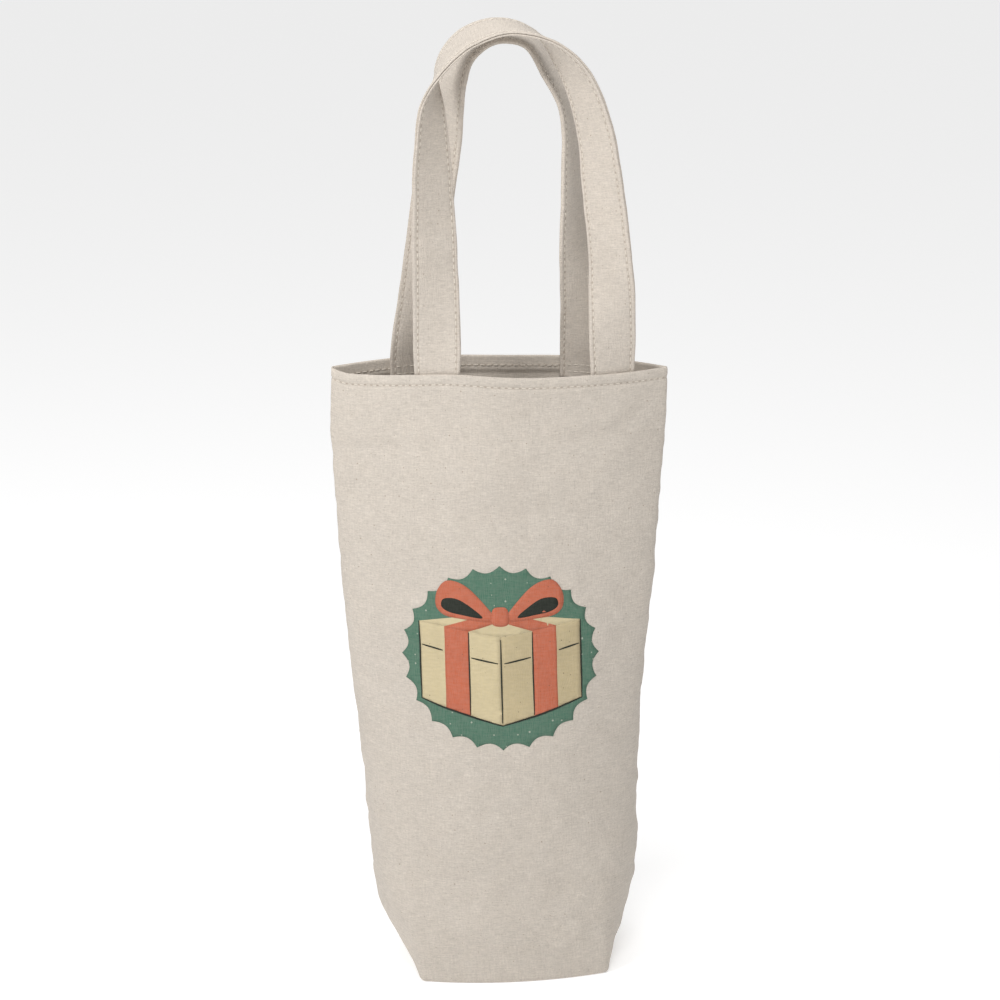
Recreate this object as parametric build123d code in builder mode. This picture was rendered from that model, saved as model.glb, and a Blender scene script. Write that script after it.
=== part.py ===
from build123d import *
import os
from math import asin, cos, degrees, exp, radians, sin, sqrt

os.makedirs("parts", exist_ok=True)

# A canvas bottle bag, standing on its base. X runs across the front, -Y is the front,
# +Z is up, and the origin is the middle of the base. All sizes are in millimetres.

# --- Cloth -----------------------------------------------------------------------------
BAG_HEIGHT = 306.0
CLOTH = 0.9                  # canvas thickness
LAYER_GAP = 0.15             # air between two sewn layers
HEM_DEPTH = 8.0
HEM_LAYER = 0.8
HEM_ROW_DROP = 5.0           # the hem's stitch row below the rim

# The bag's outline at each height: half the front's width between its corners, half the
# depth between its corners, how far the front bulges past its corners, and how far the
# side bulges. The distance round stays twice the flat width, 342 to 345 mm.
OUTLINES = [
    (0.0, 47.5, 38.0, 1.0, 1.0),
    (20.0, 47.5, 35.5, 3.5, 11.0),
    (40.0, 50.0, 30.0, 9.5, 14.5),
    (60.0, 53.0, 26.0, 12.5, 13.8),
    (85.0, 57.0, 21.0, 17.0, 11.2),
    (110.0, 59.5, 18.5, 18.5, 10.3),
    (138.0, 63.5, 14.5, 20.5, 8.5),
    (180.0, 69.5, 9.5, 21.0, 5.5),
    (222.0, 74.5, 6.0, 21.5, 3.5),
    (264.0, 79.0, 2.8, 20.8, 1.9),
    (BAG_HEIGHT, 80.7, 1.0, 22.8, 0.6),
]
LOFT_STEPS = 30
LOFT_HEIGHTS = [BAG_HEIGHT * step / LOFT_STEPS for step in range(LOFT_STEPS + 1)]
RIM_HALF_WIDTH, RIM_CORNER_DEPTH, RIM_BULGE = OUTLINES[-1][1:4]
RIM_RADIUS = (RIM_HALF_WIDTH**2 + RIM_BULGE**2) / (2 * RIM_BULGE)

# --- Handles ---------------------------------------------------------------------------
STRAP_WIDTH = 22.4
STRAP_THICK = 2.2            # canvas folded to two double layers
STRAP_SEAT = 3.8             # the strap's mid-plane, in from the rim's outer face
TAIL_LENGTH = 9.5            # sewn strap end below the rim
SWING_GAP = 0.3              # between a sewn tail and the loop that swings above it
EDGE_ROW = 2.3               # a strap's stitch row, in from its edge
STRAP_SPANS = 40             # short straight lengths that the looped strap is made of
THREAD = 0.4
THREAD_GAP = 0.36
STITCH = 2.4
STITCH_PITCH = 3.3

# Each handle's centreline as x, y and height over the rim, and the strap's twist there in
# degrees: 0 faces front, 90 lies edge to edge front to back, as the arch does.
FRONT_PATH = [
    (-30.2, -15.4, 40.5, 16), (-31.3, -12.8, 80.7, 32), (-32.0, -11.6, 105.6, 44), (-31.8, -11.0, 126.3, 63),
    (-28.0, -10.5, 142.9, 95), (-14.3, -10.5, 158.8, 108), (2.9, -10.5, 163.6, 102), (16.4, -10.5, 160.1, 87),
    (32.4, -10.5, 145.7, 58), (44.3, -10.5, 113.4, 40), (47.1, -10.6, 95.4, 33), (51.9, -10.8, 53.2, 22)]
REAR_PATH = [
    (-38.1, 14.0, 29.0, 4), (-32.7, 13.0, 75.2, 28), (-28.4, 12.5, 104.0, 34), (-25.4, 12.2, 120.5, 47),
    (-21.2, 12.0, 137.4, 62), (-17.0, 12.0, 147.0, 70), (-2.0, 12.0, 157.6, 77), (12.4, 12.0, 155.8, 76),
    (24.6, 12.0, 140.6, 66), (33.2, 12.0, 124.0, 60), (35.4, 12.2, 110.0, 60), (34.9, 12.3, 92.0, 60),
    (36.2, 12.8, 63.0, 48), (39.6, 13.9, 36.9, 15)]
FRONT_LEGS = (-29.7, 53.5)   # where the legs leave the rim, along X
REAR_LEGS = (-42.4, 40.0)

# --- Seams inside the bag --------------------------------------------------------------
ALLOWANCE = 9.0
SEAM_FOOT = 30.0             # the side seams' allowances start above the boxed corners
OVERLOCK_PITCH = 5.0
OVERLOCK_REACH = 3.6
CORNER_SEAM_HALF = 33.0      # half the length of a boxed corner's seam

# --- Printed badge on the front --------------------------------------------------------
PRINT_Z = 168.0
INK_LIFT = 0.1
INK = 0.12
BADGE_HALF_WIDTH = 46.5
BADGE_HALF_HEIGHT = 43.0
SCALLOPS = 24
SCALLOP_RADIUS = 6.6


def bag_outline(half_width, half_depth, front_bulge, side_bulge, inset):
    """Four arcs round the bag at one height, moved in by inset."""
    inner_width = half_width - inset * (1 + exp(-half_depth / 4))
    inner_depth = max(half_depth - inset, 0.3)
    front = half_depth + front_bulge - inset
    side = inner_width + side_bulge
    ThreePointArc((-inner_width, -inner_depth), (0, -front), (inner_width, -inner_depth))
    ThreePointArc((inner_width, -inner_depth), (side, 0), (inner_width, inner_depth))
    ThreePointArc((inner_width, inner_depth), (0, front), (-inner_width, inner_depth))
    ThreePointArc((-inner_width, inner_depth), (-side, 0), (-inner_width, -inner_depth))


def between(height):
    """The outline's four numbers at any height, on smooth curves through the table's."""
    last = len(OUTLINES) - 1
    row = next(i for i in range(last) if height <= OUTLINES[i + 1][0])
    before, low, high, after = (OUTLINES[min(max(row + k, 0), last)] for k in (-1, 0, 1, 2))
    span = high[0] - low[0]
    share = (height - low[0]) / span
    numbers = []
    for column in range(1, 5):
        rise = high[column] - low[column]
        start = rise if before is low else (high[column] - before[column]) * span / (
            high[0] - before[0])
        end = rise if after is high else (after[column] - low[column]) * span / (
            after[0] - low[0])
        numbers.append(low[column] + share * (start + share * (
            3 * rise - 2 * start - end + share * (start + end - 2 * rise))))
    return numbers


def outline_face(height, inset):
    """The bag's outline at a height as a face."""
    with BuildSketch(Plane.XY.offset(height)) as outline:
        with BuildLine():
            bag_outline(*between(height), inset)
        make_face()
    return outline.sketch


def heights_between(low, high):
    """The loft's heights from low to high, both included."""
    return [low] + [z for z in LOFT_HEIGHTS if low < z < high] + [high]


def bag_shell(outer_inset, inner_inset, low, high, floor=0.0):
    """A shell that follows the bag between two insets, in the builder that is open."""
    loft(sections=[outline_face(z, outer_inset) for z in heights_between(low, high)],
         ruled=True)
    loft(sections=[outline_face(z, inner_inset) for z in heights_between(low + floor, high)],
         ruled=True, mode=Mode.SUBTRACT)


def seat(x, side, inset=STRAP_SEAT):
    """A point on the front (side -1) or rear (side 1) rim, in from its outer face."""
    radius = RIM_RADIUS - inset
    centre = RIM_RADIUS - RIM_CORNER_DEPTH - RIM_BULGE
    return Vector(x, side * (sqrt(radius**2 - x**2) - centre), 0)


def strap_stations(path, legs, side):
    """The loop's centreline points with their twist, from leg to leg."""
    ends = [seat(x, side) for x in legs]
    turn = [degrees(asin(x / (RIM_RADIUS - STRAP_SEAT))) for x in legs]
    first = (ends[0].X, ends[0].Y, SWING_GAP, turn[0])
    last = (ends[1].X, ends[1].Y, SWING_GAP, -turn[1])
    return [first] + path + [last]


def strap_planes(path, legs, side):
    """Planes across the strap, closely spaced: x along its width, z along its length."""
    stations = strap_stations(path, legs, side)
    points = [Vector(x, y, BAG_HEIGHT + z) for x, y, z, _ in stations]
    line = Spline(*points, tangents=[(0, 0, 1), (0, 0, -1)], mode=Mode.PRIVATE)
    places = [line.param_at_point(point) for point in points]
    planes = []
    for number in range(STRAP_SPANS + 1):
        place = number / STRAP_SPANS
        leg = min(sum(place >= p for p in places[1:]), len(places) - 2)
        share = (place - places[leg]) / (places[leg + 1] - places[leg])
        turn = stations[leg][3] + (stations[leg + 1][3] - stations[leg][3]) * share
        along = line.tangent_at(place).normalized()
        rear = (Vector(0, 1, 0) - along * along.Y).normalized()
        inward = rear.cross(along)
        width = inward * cos(radians(turn)) - rear * (side * sin(radians(turn)))
        planes.append(Plane(line.position_at(place), x_dir=width, z_dir=along))
    return planes


def strap_faces(planes):
    """The strap's section on each plane."""
    faces = []
    for plane in planes:
        with BuildSketch(plane) as section:
            Rectangle(STRAP_WIDTH, STRAP_THICK)
        faces.append(section.sketch)
    return faces


# === The bag's cloth ===================================================================
with BuildPart() as bag_cloth:
    bag_shell(0, CLOTH, 0, BAG_HEIGHT, floor=CLOTH)
bag_cloth.part.label = "bag_cloth"
export_step(bag_cloth.part, "parts/bag_cloth.step")

hem_outer = CLOTH + LAYER_GAP
with BuildPart() as turned_hem:
    bag_shell(hem_outer, hem_outer + HEM_LAYER, BAG_HEIGHT - HEM_DEPTH, BAG_HEIGHT)
turned_hem.part.label = "turned_hem"
export_step(turned_hem.part, "parts/turned_hem.step")

# === The hem's stitch row ==============================================================
row_out = -(THREAD_GAP + THREAD / 2)
row_reach = asin((RIM_HALF_WIDTH - 3) / RIM_RADIUS)
row_count = int(2 * row_reach * RIM_RADIUS / STITCH_PITCH)
row_height = BAG_HEIGHT - HEM_ROW_DROP
hem_stitches = []
for side in (-1, 1):
    for number in range(row_count):
        turn = -row_reach + 2 * row_reach * (number + 0.5) / row_count
        middle = seat((RIM_RADIUS - row_out) * sin(turn), side, row_out)
        along = Vector(cos(turn), -side * sin(turn), 0)
        hem_stitches.append(Plane((middle.X, middle.Y, row_height), x_dir=along))
with BuildPart() as hem_stitching:
    with Locations(*hem_stitches):
        Box(STITCH, THREAD, THREAD)
hem_stitching.part.label = "hem_stitching"
export_step(hem_stitching.part, "parts/hem_stitching.step")

# === Handles ===========================================================================
front_planes = strap_planes(FRONT_PATH, FRONT_LEGS, -1)
rear_planes = strap_planes(REAR_PATH, REAR_LEGS, 1)

with BuildPart() as front_handle:
    loft(sections=strap_faces(front_planes), ruled=True)
front_handle.part.label = "front_handle"
export_step(front_handle.part, "parts/front_handle.step")

with BuildPart() as rear_handle:
    loft(sections=strap_faces(rear_planes), ruled=True)
rear_handle.part.label = "rear_handle"
export_step(rear_handle.part, "parts/rear_handle.step")

# Two stitch rows along each strap, one by each edge, shown on both faces.
row_across = STRAP_WIDTH / 2 - EDGE_ROW
row_lift = (STRAP_THICK + THREAD) / 2 + THREAD_GAP
for name, planes in (("front_handle", front_planes), ("rear_handle", rear_planes)):
    stitch_planes = []
    for low, high in zip(planes, planes[1:]):
        length = high.origin - low.origin
        for share in (0.25, 0.75):
            width = low.x_dir * (1 - share) + high.x_dir * share
            stitch_planes.append(Plane(low.origin + length * share, x_dir=width, z_dir=length))
    with BuildPart() as edge_stitching:
        with Locations(*stitch_planes):
            with GridLocations(2 * row_across, 2 * row_lift, 2, 2):
                Box(THREAD, THREAD, STITCH)
    edge_stitching.part.label = name + "_stitching"
    export_step(edge_stitching.part, f"parts/{name}_stitching.step")

# === Sewn strap ends and their tacks ===================================================
tack_rows = (-3.0, -6.5)     # heights from the rim
tack_count = 5
tack_pitch = (STRAP_WIDTH - 2 * EDGE_ROW) / tack_count
for row, legs, side in (("front", FRONT_LEGS, -1), ("rear", REAR_LEGS, 1)):
    for hand, x in zip(("left", "right"), legs):
        foot = seat(x, side)
        turn = asin(x / (RIM_RADIUS - STRAP_SEAT))
        across = Vector(cos(turn), -side * sin(turn), 0)
        tail_plane = Plane((foot.X, foot.Y, BAG_HEIGHT - TAIL_LENGTH), x_dir=across)
        with BuildPart() as strap_tail:
            with BuildSketch(tail_plane):
                Rectangle(STRAP_WIDTH, STRAP_THICK)
            extrude(amount=TAIL_LENGTH)
        strap_tail.part.label = f"{row}_{hand}_strap_tail"
        export_step(strap_tail.part, f"parts/{row}_{hand}_strap_tail.step")

        inner_face = foot - Vector(-across.Y, across.X, 0) * (side * row_lift)
        tack_planes = [
            Plane((inner_face.X, inner_face.Y, BAG_HEIGHT + drop), x_dir=across)
            for drop in tack_rows
        ]
        with BuildPart() as tack:
            with Locations(*tack_planes):
                with GridLocations(tack_pitch, 1, tack_count, 1):
                    Box(STITCH, THREAD, THREAD)
        tack.part.label = f"{row}_{hand}_tack"
        export_step(tack.part, f"parts/{row}_{hand}_tack.step")

# === Seam allowances inside ============================================================
# Each side seam's two raw edges are overlocked together and stand into the bag.
seam_top = BAG_HEIGHT - HEM_DEPTH - 1.0
seam_heights = [SEAM_FOOT] + [o[0] for o in OUTLINES if SEAM_FOOT < o[0] < seam_top] + [seam_top]


def seam_line(height):
    """How far out the seam's fold sits inside the side wall."""
    half_width, half_depth, _, side_bulge = between(height)
    return half_width - CLOTH * (1 + exp(-half_depth / 4)) + side_bulge - 2.0


for hand, mirror_x in (("left", -1), ("right", 1)):
    fold = [(mirror_x * seam_line(z), z) for z in seam_heights]
    edge = [(x - mirror_x * ALLOWANCE, z) for x, z in fold]
    with BuildPart() as allowance:
        with BuildSketch(Plane.XZ):
            with BuildLine():
                Polyline(*fold, *reversed(edge), close=True)
            make_face()
        extrude(amount=CLOTH, both=True)
    allowance.part.label = f"{hand}_seam_allowance"
    export_step(allowance.part, f"parts/{hand}_seam_allowance.step")

    loop_count = int((seam_top - SEAM_FOOT - 2 * OVERLOCK_PITCH) / OVERLOCK_PITCH)
    loop_lift = CLOTH + THREAD_GAP + THREAD / 2
    loops = []
    for number in range(loop_count + 1):
        z = SEAM_FOOT + OVERLOCK_PITCH * (number + 1)
        x = mirror_x * (seam_line(z) - ALLOWANCE + 2.5)
        loops += [(x, loop_lift, z), (x, -loop_lift, z)]
    with BuildPart() as overlock:
        with Locations(*loops):
            Box(OVERLOCK_REACH, THREAD, THREAD)
    overlock.part.label = f"{hand}_seam_overlock"
    export_step(overlock.part, f"parts/{hand}_seam_overlock.step")

    # The boxed corner's seam lies across the floor at each side of the base.
    corner_x = mirror_x * (OUTLINES[0][1] - CLOTH - 3.5 - ALLOWANCE / 2)
    floor = CLOTH + LAYER_GAP
    with BuildPart() as corner_allowance:
        with BuildSketch(Plane.XY.offset(floor)):
            with Locations((corner_x, 0)):
                Rectangle(ALLOWANCE, 2 * CORNER_SEAM_HALF)
        extrude(amount=2 * CLOTH)
    corner_allowance.part.label = f"{hand}_corner_allowance"
    export_step(corner_allowance.part, f"parts/{hand}_corner_allowance.step")

    corner_loops = int(2 * CORNER_SEAM_HALF / OVERLOCK_PITCH) - 1
    with BuildPart() as corner_overlock:
        top = floor + 2 * CLOTH + THREAD_GAP + THREAD / 2
        with Locations((corner_x - mirror_x * (ALLOWANCE / 2 - 2.2), 0, top)):
            with GridLocations(1, OVERLOCK_PITCH, 1, corner_loops):
                Box(OVERLOCK_REACH, THREAD, THREAD)
    corner_overlock.part.label = f"{hand}_corner_overlock"
    export_step(corner_overlock.part, f"parts/{hand}_corner_overlock.step")

# === Printed badge =====================================================================
# Four inks side by side in one thin layer on the front: a scalloped badge, a gift box
# seen corner on, its ribbon, and dark lines.
print_plane = Plane((0, 0, PRINT_Z), x_dir=(1, 0, 0), z_dir=(0, -1, 0))


def badge_shape():
    """An oval with shallow scallops bitten out round its edge."""
    with BuildSketch() as shape:
        Ellipse(BADGE_HALF_WIDTH + 3, BADGE_HALF_HEIGHT + 3)
        for number in range(SCALLOPS):
            turn = radians(360 * number / SCALLOPS)
            with Locations(((BADGE_HALF_WIDTH + 6.5) * cos(turn), (BADGE_HALF_HEIGHT + 6.5) * sin(turn))):
                Circle(SCALLOP_RADIUS, mode=Mode.SUBTRACT)
    return shape.sketch


def box_shape():
    """The gift box: two faces that meet at a near corner."""
    with BuildSketch() as shape:
        with BuildLine():
            Polyline((-41, 17), (0, 21), (41, 17), (41, -22), (0, -34), (-41, -22), close=True)
        make_face()
    return shape.sketch


def ribbon_shape():
    """A band down each face and a bow of two loops and a knot."""
    with BuildSketch() as shape:
        for hand in (-1, 1):
            with BuildLine():
                Polyline(
                    (hand * 16, 19.4), (hand * 27, 18.3), (hand * 27, -26.1), (hand * 16, -29.3),
                    close=True,
                )
            make_face()
            with BuildLine():
                Spline((hand * 2, 20), (hand * 20, 38), (hand * 29, 30), (hand * 18, 21),
                       (hand * 2, 20))
            make_face()
        with Locations((0, 21)):
            Ellipse(4.5, 5)
    return shape.sketch


def line_shape():
    """The dark lines: the near corner and the two lid edges."""
    with BuildSketch() as shape:
        with Locations((0, -8)):
            Rectangle(1.0, 46)
        for hand in (-1, 1):
            with Locations(Location((hand * 34, 7.0), hand * 5)):
                Rectangle(12, 0.9)
            with Locations(Location((hand * 8, 6.0), hand * 5)):
                Rectangle(12, 0.9)
    return shape.sketch


def ink_shape(shape, *over):
    """One ink's outline, less the inks printed over it."""
    with BuildSketch(print_plane) as ink:
        add(shape)
        for other in over:
            add(other, mode=Mode.SUBTRACT)
    return ink.sketch


ink_low, ink_high = PRINT_Z - 60, PRINT_Z + 60
lines, ribbon, gift_box, badge = line_shape(), ribbon_shape(), box_shape(), badge_shape()
inks = {
    "badge_print": ink_shape(badge, gift_box, ribbon, lines),
    "gift_box_print": ink_shape(gift_box, ribbon, lines),
    "ribbon_print": ink_shape(ribbon, lines),
    "line_print": ink_shape(lines),
}
for name, outline in inks.items():
    with BuildPart() as ink_layer:
        bag_shell(-INK_LIFT - INK, -INK_LIFT, ink_low, ink_high)
        extrude(outline, amount=80, mode=Mode.INTERSECT)
    ink_layer.part.label = name
    export_step(ink_layer.part, f"parts/{name}.step")
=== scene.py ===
import math

import bpy
import mathutils
import numpy as np
from mathutils.geometry import delaunay_2d_cdt
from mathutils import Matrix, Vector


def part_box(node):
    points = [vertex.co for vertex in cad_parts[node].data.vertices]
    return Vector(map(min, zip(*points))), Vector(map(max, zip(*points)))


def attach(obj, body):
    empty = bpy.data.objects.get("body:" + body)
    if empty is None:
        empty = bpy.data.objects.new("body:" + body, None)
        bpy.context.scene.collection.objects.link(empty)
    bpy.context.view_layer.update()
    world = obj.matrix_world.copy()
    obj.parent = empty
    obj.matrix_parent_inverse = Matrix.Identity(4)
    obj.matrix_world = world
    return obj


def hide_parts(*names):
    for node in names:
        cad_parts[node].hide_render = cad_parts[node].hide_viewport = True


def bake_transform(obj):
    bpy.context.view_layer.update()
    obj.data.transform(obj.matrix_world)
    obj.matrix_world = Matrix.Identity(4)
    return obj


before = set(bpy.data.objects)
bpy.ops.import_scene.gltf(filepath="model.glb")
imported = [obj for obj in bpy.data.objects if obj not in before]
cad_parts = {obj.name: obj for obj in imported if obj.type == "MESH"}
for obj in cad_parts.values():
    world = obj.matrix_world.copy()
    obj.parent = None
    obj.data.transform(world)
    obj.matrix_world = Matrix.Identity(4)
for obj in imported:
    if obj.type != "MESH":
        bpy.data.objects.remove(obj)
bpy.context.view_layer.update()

# The looks of a canvas bottle bag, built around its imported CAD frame. The bag is one sewn
# shell of cloth with two folded straps, their stitching, the seams inside and a printed
# badge. Lengths are in millimetres until a mesh is made. Heights are over the floor.
MM = 0.001
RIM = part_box("bag_cloth")[1].z / MM

# --- Cloth -------------------------------------------------
CLOTH = 0.9                  # canvas thickness
HEM_THICK = 1.8              # wall where the hem is turned in
HEM_DEPTH = 8.0
HEM_ROW = RIM - 5.0          # height of the hem's stitch row
GIRTH = 343.0                # the cloth's length round the bag
BASE_ROUND = 2.4             # fold radius round the base
FLOOR_RISE = 1.0             # the floor's middle stands a little off the ground

# Outline at each height: half the front's width between its corners, half the depth
# between its corners, the front's bulge and the side's bulge.
OUTLINES = [
    (0.0, 47.5, 36.8, 6.0, 1.0),
    (20.0, 47.5, 35.2, 6.0, 11.0),
    (40.0, 50.0, 30.0, 9.5, 14.5),
    (60.0, 53.0, 26.0, 12.5, 13.8),
    (85.0, 57.0, 21.0, 17.0, 11.2),
    (110.0, 59.5, 18.5, 18.5, 10.3),
    (138.0, 63.5, 14.5, 20.5, 8.5),
    (180.0, 69.5, 9.5, 21.0, 5.5),
    (222.0, 74.5, 6.0, 21.5, 3.5),
    (264.0, 79.0, 2.8, 20.8, 1.9),
    (306.0, 80.7, 1.0, 22.8, 0.6),
]
CORNER_SOFTNESS = [(0.0, 1.6), (30.0, 2.4), (60.0, 3.4), (180.0, 2.6), (RIM, 0.7)]
LEAN = [(0.0, 3.8), (25.0, 2.7), (58.0, 1.5), (124.0, 0.2), (222.0, -1.6), (RIM, -0.3)]
BASE_TURN = 6.0              # degrees that the base is turned on the mouth
TURN_FADES = 75.0            # height where that turn has gone

# --- Straps ------------------------------------------------
STRAP_WIDTH = 22.4
STRAP_THICK = 2.2
STRAP_STEP = 0.85
EDGE_ROW = 2.3               # a stitch row, in from the strap's edge
TAIL_LENGTH = 9.5
STRAP_SEAT = 3.3             # the strap's middle, in from the bag's outer face
SWING_GAP = 0.3
THREAD_RADIUS = 0.21
THREAD_SIDES = 6
OVERLOCK_RADIUS = 0.19
STITCH = 2.5
STITCH_PITCH = 3.3
STITCH_LIFT = 0.12           # a strap's stitches, off its face
TACK_LIFT = 0.14
TACK_DROPS = (3.0, 6.5)      # a tack's two rows, under the rim
TACK_REACH = 7.0             # half a tack row's length

# A strap's slow waves: depth, length and a number that is added to the strap's seed.
STRAP_WAVES = {"sway": (0.34, 70, 0), "tilt": (0.30, 46, 1), "cup": (0.55, 60, 2), "edge": (0.18, 24, 4)}
STRAP_WAVE_SPAN = 60
STRAP_ROUGH = (0.06, 9, 3)
STRAP_FREE = 45.0            # distance from its end where the strap waves freely

# Each strap's centreline as x, y and height over the rim, with its twist in degrees.
FRONT_PATH = [
    (-30.2, -15.4, 40.5, 16), (-31.3, -12.8, 80.7, 32), (-32.0, -11.6, 105.6, 44),
    (-31.8, -11.0, 126.3, 63), (-28.0, -10.5, 142.9, 95), (-14.3, -10.5, 158.8, 108),
    (2.9, -10.5, 163.6, 102), (16.4, -10.5, 160.1, 87), (32.4, -10.5, 145.7, 58),
    (44.3, -10.5, 113.4, 40), (47.1, -10.6, 95.4, 33), (51.9, -10.8, 53.2, 22)]
REAR_PATH = [
    (-38.1, 14.0, 29.0, 4), (-32.7, 13.0, 75.2, 28), (-28.4, 12.5, 104.0, 34),
    (-25.4, 12.2, 120.5, 47), (-21.2, 12.0, 137.4, 62), (-17.0, 12.0, 147.0, 70),
    (-2.0, 12.0, 157.6, 77), (12.4, 12.0, 155.8, 76), (24.6, 12.0, 140.6, 66),
    (33.2, 12.0, 124.0, 60), (35.4, 12.2, 110.0, 60), (34.9, 12.3, 92.0, 60),
    (36.2, 12.8, 63.0, 48), (39.6, 13.9, 36.9, 15)]
FRONT_LEGS = (-29.7, 53.5)
REAR_LEGS = (-42.4, 40.0)

# --- Printed badge -----------------------------------------
PRINT_MIDDLE = (1.2, 168.0)  # across the front, and height
BADGE_HALF_WIDTH = 46.5
BADGE_HALF_HEIGHT = 43.0
SCALLOPS = 24
SCALLOP_DEPTH = 3.2


# === Curves and noise ======================================
def smooth_curve(places, values, at):
    """Values at some places on a smooth curve through the values given at rising places."""
    places = np.asarray(places, float)
    values = np.asarray(values, float)
    at = np.clip(np.asarray(at, float), places[0], places[-1])
    slopes = np.gradient(values, places, axis=0)
    low = np.clip(np.searchsorted(places, at, side="right") - 1, 0, len(places) - 2)
    span = places[low + 1] - places[low]
    t = (at - places[low]) / span
    if values.ndim > 1:
        span, t = span[..., None], t[..., None]
    rise = values[low + 1] - values[low]
    start, end = slopes[low] * span, slopes[low + 1] * span
    return values[low] + t * (start + t * (3 * rise - 2 * start - end + t * (start + end - 2 * rise)))


def curve_of(table, at):
    """A two-column table's value at some places, smoothly."""
    return smooth_curve([row[0] for row in table], [row[1] for row in table], at)


def ease(x, low, high):
    """0 below low, 1 above high, smooth between."""
    t = np.clip((np.asarray(x, float) - low) / (high - low), 0, 1)
    return t * t * (3 - 2 * t)


def bell(x, width):
    return np.exp(-((x / width) ** 2))


def ripples(u, v, across, along, seed, count=26):
    """Soft noise about 1 high on cloth that closes on itself after GIRTH along u."""
    rng = np.random.default_rng(seed)
    total = np.zeros(np.broadcast(u, v).shape)
    for _ in range(count):
        turns = round(rng.normal(0, GIRTH / across / 1.6))
        tilt = rng.normal(0, 2 * np.pi / along / 1.6)
        total += np.cos(2 * np.pi * turns * u / GIRTH + tilt * v + rng.uniform(0, 2 * np.pi))
    return total * math.sqrt(2 / count) * 0.7


def unit(vectors):
    return vectors / np.maximum(np.linalg.norm(vectors, axis=-1, keepdims=True), 1e-12)


# === Meshes ================================================
def make_piece(name, points, faces, uvs, material):
    """A mesh object from points in millimetres, with one UV in metres per face corner."""
    mesh = bpy.data.meshes.new(name)
    mesh.from_pydata((np.asarray(points) * MM).tolist(), [], [list(f) for f in faces])
    layer = mesh.uv_layers.new(name="cloth")
    layer.data.foreach_set("uv", np.asarray(uvs, np.float32).ravel())
    mesh.polygons.foreach_set("use_smooth", [True] * len(mesh.polygons))
    mesh.materials.append(material)
    mesh.validate()
    mesh.update()
    piece = bpy.data.objects.new(name, mesh)
    bpy.context.scene.collection.objects.link(piece)
    return piece


def ring_faces(rings, count):
    """Quads between closed rings of points that follow one another."""
    ring, point = np.meshgrid(np.arange(rings - 1), np.arange(count), indexing="ij")
    after = (point + 1) % count
    corners = [ring * count + point, ring * count + after]
    corners += [(ring + 1) * count + after, (ring + 1) * count + point]
    return np.stack(corners, -1).reshape(-1, 4)


def tube_piece(name, rings, lengths, material):
    """A closed tube from rings of points, with flat ends."""
    count = rings.shape[1]
    faces = ring_faces(len(rings), count).tolist()
    middle_ring = rings[len(rings) // 2]
    steps = np.linalg.norm(np.roll(middle_ring, -1, 0) - middle_ring, axis=1)
    round_it = np.append(0, np.cumsum(steps)) * MM
    along = np.asarray(lengths) * MM
    uvs = []
    for ring in range(len(rings) - 1):
        low, high = along[ring], along[ring + 1]
        for point in range(count):
            near, far = round_it[point], round_it[point + 1]
            uvs += [(near, low), (far, low), (far, high), (near, high)]
    faces.append(list(range(count))[::-1])
    faces.append([(len(rings) - 1) * count + point for point in range(count)])
    uvs += [(round_it[point], along[0]) for point in reversed(range(count))]
    uvs += [(round_it[point], along[-1]) for point in range(count)]
    return make_piece(name, rings.reshape(-1, 3), faces, uvs, material)


def stitch_piece(name, middles, along, up, material):
    """Many short stitches in one mesh: each a thread that dips into the cloth at its ends."""
    middles, along, up = np.asarray(middles), unit(np.asarray(along)), unit(np.asarray(up))
    across = np.cross(up, along)
    shares = np.array([-1.0, -0.86, -0.45, 0.45, 0.86, 1.0])
    sizes = np.array([0.35, 0.8, 1.0, 1.0, 0.8, 0.35])
    drops = -0.42 * np.abs(shares) ** 3
    turns = np.linspace(0, 2 * np.pi, THREAD_SIDES, endpoint=False)
    points = middles[:, None, None] + along[:, None, None] * (shares * STITCH / 2)[None, :, None, None]
    points = points + up[:, None, None] * drops[None, :, None, None]
    radii = (sizes * THREAD_RADIUS)[None, :, None, None]
    round_it = (across[:, None, None] * np.cos(turns)[None, None, :, None]
                + up[:, None, None] * np.sin(turns)[None, None, :, None])
    points = points + round_it * radii
    one = ring_faces(len(shares), len(turns)).tolist()
    one += [list(range(len(turns)))[::-1]]
    one += [[(len(shares) - 1) * len(turns) + point for point in range(len(turns))]]
    size = len(shares) * len(turns)
    faces = [[corner + size * number for corner in face] for number in range(len(middles)) for face in one]
    flat = points.reshape(-1, 3)
    uvs = [(flat[corner, 0] * MM, flat[corner, 2] * MM) for face in faces for corner in face]
    return make_piece(name, flat, faces, uvs, material)


def sew_rows(name, rows):
    """Stitches in one mesh along rows. Each row is a function that gives the stitches' places
    for a shift along the row and a share of their lift off the cloth."""
    middles, along, up = [], [], []
    for row in rows:
        middles.append(row(0.0, 1.0))
        along.append(row(0.5, 1.0) - row(-0.5, 1.0))
        up.append(row(0.0, 1.0) - row(0.0, 0.0))
    return stitch_piece(name, np.concatenate(middles), np.concatenate(along), np.concatenate(up), cotton)


def thread_rings(path, radius):
    """Rings of a round thread along a path of points."""
    along = unit(np.gradient(path, axis=0))
    guide = np.where(np.abs(along[:, 2:3]) > 0.8, [[1.0, 0, 0]], [[0, 0, 1.0]])
    across = unit(np.cross(along, guide))
    other = np.cross(across, along)
    turns = np.linspace(0, 2 * np.pi, THREAD_SIDES, endpoint=False)[None, :, None]
    return path[:, None] + radius * (across[:, None] * np.cos(turns) - other[:, None] * np.sin(turns))


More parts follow.
